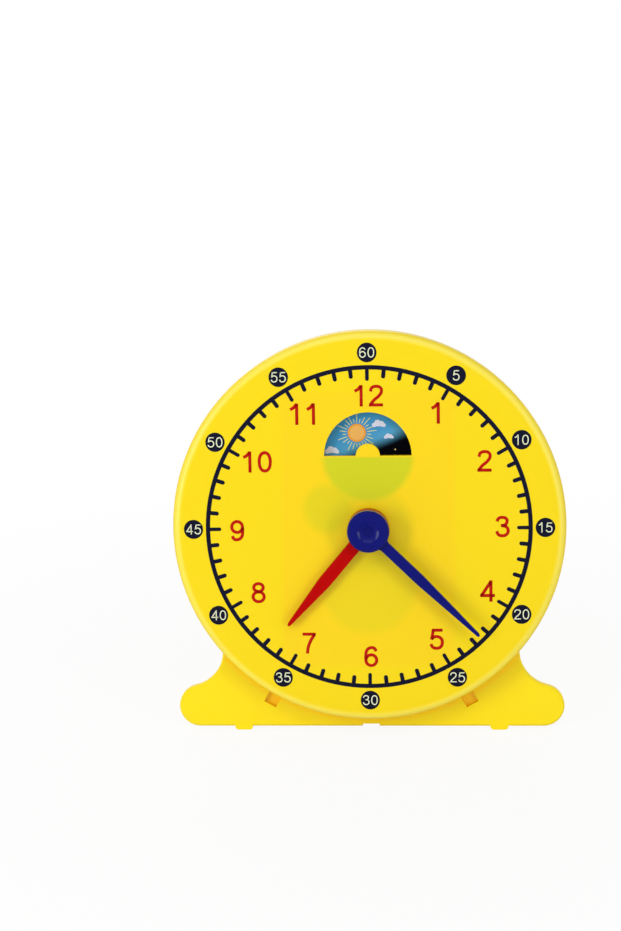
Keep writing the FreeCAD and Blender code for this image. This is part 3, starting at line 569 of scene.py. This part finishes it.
# Centre lines of the digits in a cell that is one high: two points make a straight stroke, more
# make a smooth one, and (x, y, half width, half height) makes a closed oval
ADVANCE = 0.777
DIGITS = {
    "0": [[(0.385, 0.5, 0.262, 0.435)]],
    "1": [[(0.46, 0.0), (0.46, 1.0)], [(0.155, 0.715), (0.31, 0.80), (0.45, 0.965)]],
    "2": [[(0.115, 0.695), (0.18, 0.865), (0.385, 0.935), (0.59, 0.86), (0.63, 0.70),
           (0.51, 0.49), (0.25, 0.26), (0.115, 0.075)], [(0.04, 0.065), (0.70, 0.065)]],
    "3": [[(0.12, 0.74), (0.19, 0.88), (0.36, 0.935), (0.56, 0.86), (0.585, 0.73), (0.50, 0.585),
           (0.30, 0.545)], [(0.34, 0.55), (0.56, 0.48), (0.64, 0.30), (0.555, 0.12),
                            (0.355, 0.065), (0.18, 0.13), (0.105, 0.28)]],
    "4": [[(0.515, 0.0), (0.515, 1.0)], [(0.02, 0.29), (0.70, 0.29)],
          [(0.07, 0.27), (0.50, 0.93)]],
    "5": [[(0.18, 0.935), (0.655, 0.935)], [(0.225, 0.98), (0.14, 0.48)],
          [(0.135, 0.50), (0.24, 0.60), (0.385, 0.63), (0.58, 0.54), (0.64, 0.34), (0.56, 0.13),
           (0.36, 0.065), (0.18, 0.13), (0.105, 0.27)]],
    "6": [[(0.385, 0.325, 0.255, 0.26)], [(0.615, 0.755), (0.545, 0.89), (0.41, 0.935),
                                          (0.20, 0.83), (0.125, 0.52), (0.13, 0.34)]],
    "7": [[(0.075, 0.935), (0.70, 0.935)], [(0.655, 0.93), (0.46, 0.62), (0.34, 0.30),
                                            (0.295, 0.0)]],
    "8": [[(0.385, 0.745, 0.225, 0.19)], [(0.385, 0.30, 0.265, 0.235)]],
    "9": [[(0.385, 0.675, 0.255, 0.26)], [(0.155, 0.245), (0.225, 0.11), (0.36, 0.065),
                                          (0.57, 0.17), (0.645, 0.48), (0.64, 0.66)]],
}


def add_stroke(curve, stroke, shift):
    """One centre line of a digit as a spline."""
    oval = len(stroke[0]) == 4
    if oval:
        x, y, across, along = stroke[0]
        stroke = [(x + across * math.cos(turn), y + along * math.sin(turn))
                  for turn in (0, math.pi / 2, math.pi, 1.5 * math.pi)]
    spline = curve.splines.new("BEZIER")
    spline.bezier_points.add(len(stroke) - 1)
    spline.use_cyclic_u = oval
    for knot, (x, y) in zip(spline.bezier_points, stroke):
        knot.co = (x + shift, y, 0)
        knot.handle_left_type = knot.handle_right_type = "VECTOR" if len(stroke) == 2 else "AUTO"


def lettering(text, height, stroke, thickness):
    """A closed mesh of one number, centred on the origin: ribbons along the centre lines that are
    given the width of a stroke."""
    curve = bpy.data.curves.new("word", "CURVE")
    curve.dimensions = "2D"
    curve.fill_mode = "NONE"
    curve.resolution_u = 6
    curve.extrude = 0.5
    for place, digit in enumerate(text):
        for line in DIGITS[digit]:
            add_stroke(curve, line, place * ADVANCE)
    ribbon = bpy.data.objects.new("word", curve)
    bpy.context.scene.collection.objects.link(ribbon)
    walls = bpy.data.meshes.new_from_object(ribbon)
    bpy.data.objects.remove(ribbon)
    bpy.data.curves.remove(curve)
    holder = bpy.data.objects.new("word", walls)
    bpy.context.scene.collection.objects.link(holder)
    width = holder.modifiers.new("stroke", "SOLIDIFY")
    width.thickness = stroke
    width.offset = 0
    width.use_even_offset = True
    bm = bmesh.new()
    bm.from_object(holder, bpy.context.evaluated_depsgraph_get())
    bpy.data.objects.remove(holder)
    bpy.data.meshes.remove(walls)
    xs = [vert.co.x for vert in bm.verts]
    ys = [vert.co.y for vert in bm.verts]
    middle = Vector(((min(xs) + max(xs)) / 2, (min(ys) + max(ys)) / 2, -0.5))
    bmesh.ops.translate(bm, vec=-middle, verts=bm.verts[:])
    scale = height / (max(ys) - min(ys))
    bmesh.ops.scale(bm, vec=(scale, scale, thickness), verts=bm.verts[:])
    bmesh.ops.recalc_face_normals(bm, faces=bm.faces[:])
    return bm


def gather(target, source, x, y):
    """Adds one bmesh to another at a place of the dial."""
    bmesh.ops.translate(source, vec=(x, y, 0), verts=source.verts[:])
    spare = bpy.data.meshes.new("spare")
    source.to_mesh(spare)
    source.free()
    target.from_mesh(spare)
    bpy.data.meshes.remove(spare)


# Operators, one for each piece or group of like pieces

class CLOCK_OT_finish_case(bpy.types.Operator):
    """Gives the case, housing, stand and knob their yellow plastic"""
    bl_idname = "clock.finish_case"
    bl_label = "Finish Case and Stand"

    def execute(self, context):
        colours = context.scene.clock_colours
        dress(dial_plastic(colours), "dial_case")
        dress(stand_plastic(colours), "stand")
        dress(case_plastic(colours), "rear_housing", "setting_knob")
        return {"FINISHED"}


class CLOCK_OT_finish_hands(bpy.types.Operator):
    """Gives the hour hand its red plastic and the minute hand its blue plastic"""
    bl_idname = "clock.finish_hands"
    bl_label = "Finish Hands"

    def execute(self, context):
        colours = context.scene.clock_colours
        dress(hand_plastic("hour_hand_plastic", colours.hour_hand, HOUR_HAND_GLOSS),
              "hour_hand")
        blue = hand_plastic("minute_hand_plastic", colours.minute_hand, MINUTE_HAND_GLOSS)
        dress(blue, "minute_hand")
        ring = bmesh.new()
        annulus(ring, HUB_RING + HUB_RING_WIDE, HUB_RING, 48)
        thicken(ring, HUB_RING_HIGH)
        corners = [edge for edge in ring.edges if edge.calc_face_angle(0) > SHARP]
        bmesh.ops.bevel(ring, geom=corners, offset=HUB_RING_WIDE / 3, offset_type="OFFSET",
                        affect="EDGES", segments=3, profile=0.5, material=-1)
        keep("hub_ring", ring, blue, "minute_train",
             front_of("minute_hand") - HUB_BOWL)
        return {"FINISHED"}


class CLOCK_OT_finish_works(bpy.types.Operator):
    """Gives the gears, pins, screws and washer their materials"""
    bl_idname = "clock.finish_works"
    bl_label = "Finish Works"

    def execute(self, context):
        colours = context.scene.clock_colours
        dress(gear_plastic(colours), "hour_wheel", "minute_wheel", "idler_gear",
              "day_night_gear", "minute_arbor")
        dress(steel(), "day_night_pin", "idler_pin", "minute_wheel_pin", "housing_screws",
              "knob_screw")
        dress(washer_plastic(), "friction_washer")
        return {"FINISHED"}


class CLOCK_OT_minute_ring(bpy.types.Operator):
    """Prints the minute ring and its sixty marks"""
    bl_idname = "clock.minute_ring"
    bl_label = "Print Minute Ring"

    def execute(self, context):
        sizes = context.scene.clock_print
        bm = bmesh.new()
        annulus(bm, sizes.ring_outer, sizes.ring_inner)
        thicken(bm, sizes.ink)
        navy = ink("navy_ink", context.scene.clock_colours.navy)
        keep("minute_ring", bm, navy, "clock_body")
        bm = bmesh.new()
        for minute in range(60):
            hour = minute % 5 == 0
            start = sizes.hour_inner if hour else sizes.minute_inner
            width = sizes.hour_width if hour else sizes.minute_width
            mark(bm, start, sizes.ring_inner + width / 2, width, math.tau * minute / 60)
        thicken(bm, sizes.ink)
        keep("minute_marks", bm, navy, "clock_body", sizes.ink / 4)
        return {"FINISHED"}


class CLOCK_OT_minute_badges(bpy.types.Operator):
    """Prints the twelve round badges with the minutes in them"""
    bl_idname = "clock.minute_badges"
    bl_label = "Print Minute Badges"

    def execute(self, context):
        sizes = context.scene.clock_print
        colours = context.scene.clock_colours
        discs = bmesh.new()
        digits = bmesh.new()
        for hour in range(1, 13):
            x, y = clock_spot(sizes.badge_circle, math.tau * hour / 12)
            disc(discs, sizes.badge_radius, x, y)
            gather(digits, lettering(str(hour * 5), sizes.badge_digit, sizes.badge_stroke,
                                     sizes.ink), x, y)
        thicken(discs, sizes.ink)
        keep("minute_badges", discs, ink("badge_ink", colours.navy), "clock_body")
        keep("minute_digits", digits, ink("digit_ink", colours.badge_digit), "clock_body",
             sizes.ink)
        return {"FINISHED"}


class CLOCK_OT_hour_numerals(bpy.types.Operator):
    """Prints the red hour numerals"""
    bl_idname = "clock.hour_numerals"
    bl_label = "Print Hour Numerals"

    def execute(self, context):
        sizes = context.scene.clock_print
        numerals = bmesh.new()
        for hour in range(1, 13):
            x, y = clock_spot(sizes.numeral_circle, math.tau * hour / 12)
            aside = NUMERALS_ASIDE.get(hour, (0, 0))
            x += ALL_NUMERALS_ASIDE[0] + aside[0]
            y += ALL_NUMERALS_ASIDE[1] + aside[1]
            gather(numerals, lettering(str(hour), sizes.numeral_height, sizes.stroke, sizes.ink),
                   x, y)
        red = ink("numeral_ink", context.scene.clock_colours.numeral)
        keep("hour_numerals", numerals, red, "clock_body")
        return {"FINISHED"}


class CLOCK_OT_day_night_picture(bpy.types.Operator):
    """Prints the sun, clouds, moon and stars on the day and night disc"""
    bl_idname = "clock.day_night_picture"
    bl_label = "Print Day and Night Picture"

    def execute(self, context):
        sizes = context.scene.clock_picture
        colours = context.scene.clock_colours
        dress(picture_card(colours, sizes), "day_night_disc")
        card = front_of("day_night_disc")
        turn = sizes.horizon + math.pi / 2

        def spot(radius, degrees):
            """A place on the disc, counted from the middle of the day."""
            return (radius * math.cos(turn + math.radians(degrees)),
                    DAY_HEIGHT + radius * math.sin(turn + math.radians(degrees)))

        rays = bmesh.new()
        sun = bmesh.new()
        sun_edge = bmesh.new()
        x, y = spot(*SUN_SPOT)
        for ray in range(sizes.rays):
            reach = sizes.sun_reach * RAY_LENGTHS[ray % len(RAY_LENGTHS)]
            mark(rays, sizes.sun_radius + RAY_GAP, reach, RAY_WIDTH, math.tau * ray / sizes.rays)
        bmesh.ops.translate(rays, vec=(x, y, 0), verts=rays.verts[:])
        disc(sun_edge, sizes.sun_radius, x, y)
        disc(sun, sizes.sun_radius * SUN_FACE, x, y)
        clouds = bmesh.new()
        for radius, degrees, scale in CLOUDS:
            self.cloud(clouds, *spot(radius, degrees), scale)
        moon = bmesh.new()
        shade = bmesh.new()
        x, y = spot(*MOON_SPOT)
        disc(moon, sizes.moon_radius, x, y)
        disc(shade, sizes.moon_radius * MOON_SHADE, x + sizes.moon_radius * MOON_SHADE_ASIDE,
             y + MOON_SHADE_UP)
        stars = bmesh.new()
        for index in range(sizes.stars):
            outwards, round_disc = [start + index * step % span for start, step, span
                                    in zip(STARS_START, STARS_STEP, STARS_SPAN)]
            self.star(stars, *spot(outwards * MM, round_disc),
                      STAR_SMALLEST + STAR_LARGER * (index % 3))
        for name, bm, tint, layer in (
                ("sun_rays", rays, colours.ray, 1), ("sun_edge", sun_edge, colours.sun_edge, 2),
                ("sun", sun, colours.sun, 3), ("clouds", clouds, colours.cloud, 2),
                ("moon", moon, colours.moon, 1), ("moon_shade", shade, colours.night, 2),
                ("stars", stars, colours.moon, 1)):
            thicken(bm, sizes.ink)
            keep(name, bm, ink(name + "_ink", tint), "day_night_body",
                 card + (layer - 1) * sizes.ink)
        return {"FINISHED"}

    def cloud(self, bm, x, y, scale):
        """A cloud of round puffs, each a hair above the last so that no two faces coincide."""
        for step, (across, along, radius) in enumerate(PUFFS):
            disc(bm, radius * scale * MM, x + across * scale * MM, y + along * scale * MM, 24,
                 step * CLOUD_STEP)

    def star(self, bm, x, y, radius):
        """A star of four points."""
        verts = disc(bm, radius, x, y, 8)
        middle = Vector((x, y, 0))
        for vert in verts[1::2]:
            vert.co = middle + (vert.co - middle) * STAR_WAIST


class CLOCK_OT_studio(bpy.types.Operator):
    """Sets up the pale floor, the soft lamps, the room light and the camera"""
    bl_idname = "clock.studio"
    bl_label = "Set Up Studio"

    def execute(self, context):
        values = context.scene.clock_studio
        self.lay_floor(values)
        self.hang_lamps(values)
        self.light_room(context.scene, values)
        self.place_camera(context.scene, values)
        context.scene.view_settings.view_transform = "Standard"
        return {"FINISHED"}

    def lay_floor(self, values):
        bm = bmesh.new()
        bmesh.ops.create_grid(bm, x_segments=1, y_segments=1, size=FLOOR_HALF)
        bmesh.ops.translate(bm, vec=(0, 0, FLOOR), verts=bm.verts[:])
        mesh = bpy.data.meshes.new("floor")
        bm.to_mesh(mesh)
        bm.free()
        mesh.materials.append(self.floor_paint(values))
        floor = bpy.data.objects.new("floor", mesh)
        bpy.context.scene.collection.objects.link(floor)

    def floor_paint(self, values):
        """A pale floor that keeps a light shadow and looks white to the camera."""
        material = principled("floor_paint", values.floor, roughness=0.9)
        nodes = Nodes(material)
        white = nodes.add("ShaderNodeEmission")
        joined = nodes.add("ShaderNodeMixShader")
        seen = nodes.add("ShaderNodeLightPath")
        coords = nodes.add("ShaderNodeTexCoord")
        away = nodes.distance(coords.outputs["Object"], (0, 0))
        share = nodes.smooth(away, values.floor_near, values.floor_far, values.floor_white)
        share = nodes.maths("MULTIPLY", seen.outputs["Is Camera Ray"], share)
        nodes.link(share, joined.inputs[0])
        nodes.link(nodes.shader.outputs["BSDF"], joined.inputs[1])
        nodes.link(white.outputs["Emission"], joined.inputs[2])
        nodes.link(joined.outputs["Shader"],
                   material.node_tree.nodes["Material Output"].inputs["Surface"])
        return material

    def hang_lamps(self, values):
        for name, (side, wide, high, place) in LAMPS.items():
            light = bpy.data.lights.new(name, "AREA")
            light.energy = getattr(values, side)
            light.shape = "RECTANGLE"
            light.size = wide
            light.size_y = high
            lamp = bpy.data.objects.new(name, light)
            lamp.location = DIAL @ Vector(place)
            lamp.rotation_euler = (HUB - lamp.location).to_track_quat("-Z", "Y").to_euler()
            bpy.context.scene.collection.objects.link(lamp)

    def light_room(self, scene, values):
        """An even grey room light that the camera, gloss and glass see as white."""
        world = bpy.data.worlds.new("studio")
        world.use_nodes = True
        tree = world.node_tree
        background = tree.nodes["Background"]
        seen = tree.nodes.new("ShaderNodeLightPath")
        white = seen.outputs["Is Camera Ray"]
        for ray in ("Is Glossy Ray", "Is Transmission Ray"):
            either = tree.nodes.new("ShaderNodeMath")
            either.operation = "MAXIMUM"
            tree.links.new(white, either.inputs[0])
            tree.links.new(seen.outputs[ray], either.inputs[1])
            white = either.outputs["Value"]
        strength = tree.nodes.new("ShaderNodeMix")
        strength.inputs["A"].default_value = values.world
        strength.inputs["B"].default_value = 1.0
        tree.links.new(white, strength.inputs["Factor"])
        tree.links.new(strength.outputs["Result"], background.inputs["Strength"])
        background.inputs["Color"].default_value = (1, 1, 1, 1)
        scene.world = world

    def place_camera(self, scene, values):
        lens = bpy.data.cameras.new("camera")
        lens.lens = values.focal
        camera = bpy.data.objects.new("camera", lens)
        turn = (Matrix.Rotation(values.yaw, 4, "Y") @ Matrix.Rotation(-values.pitch, 4, "X")
                @ Matrix.Rotation(values.roll, 4, "Z"))
        spot = Matrix.Translation((values.camera_right, values.camera_up, values.camera_out))
        camera.matrix_world = DIAL @ spot @ turn
        scene.collection.objects.link(camera)
        scene.camera = camera


class CLOCK_PT_pieces(bpy.types.Panel):
    """Lists the pieces of the clock in the sidebar"""
    bl_idname = "CLOCK_PT_pieces"
    bl_label = "Teaching Clock"
    bl_space_type = "VIEW_3D"
    bl_region_type = "UI"
    bl_category = "Clock"

    def draw(self, context):
        for operator in OPERATORS:
            self.layout.operator(operator.bl_idname)
        for group in GROUPS:
            values = getattr(context.scene, group)
            box = self.layout.box()
            for name in values.bl_rna.properties.keys():
                if name not in ("rna_type", "name"):
                    box.prop(values, name)


GROUPS = {"clock_print": DialPrintSizes, "clock_picture": PictureSizes,
          "clock_colours": ClockColours, "clock_studio": StudioValues}
OPERATORS = (CLOCK_OT_finish_case, CLOCK_OT_finish_hands, CLOCK_OT_finish_works,
             CLOCK_OT_minute_ring, CLOCK_OT_minute_badges, CLOCK_OT_hour_numerals,
             CLOCK_OT_day_night_picture, CLOCK_OT_studio)
CLASSES = (*GROUPS.values(), *OPERATORS, CLOCK_PT_pieces)


def register():
    for entry in CLASSES:
        bpy.utils.register_class(entry)
    for name, group in GROUPS.items():
        setattr(bpy.types.Scene, name, PointerProperty(type=group))


def unregister():
    for name in GROUPS:
        delattr(bpy.types.Scene, name)
    for entry in reversed(CLASSES):
        bpy.utils.unregister_class(entry)


def main():
    register()
    for operator in OPERATORS:
        family, name = operator.bl_idname.split(".")
        getattr(getattr(bpy.ops, family), name)()


if __name__ == "__main__":
    main()
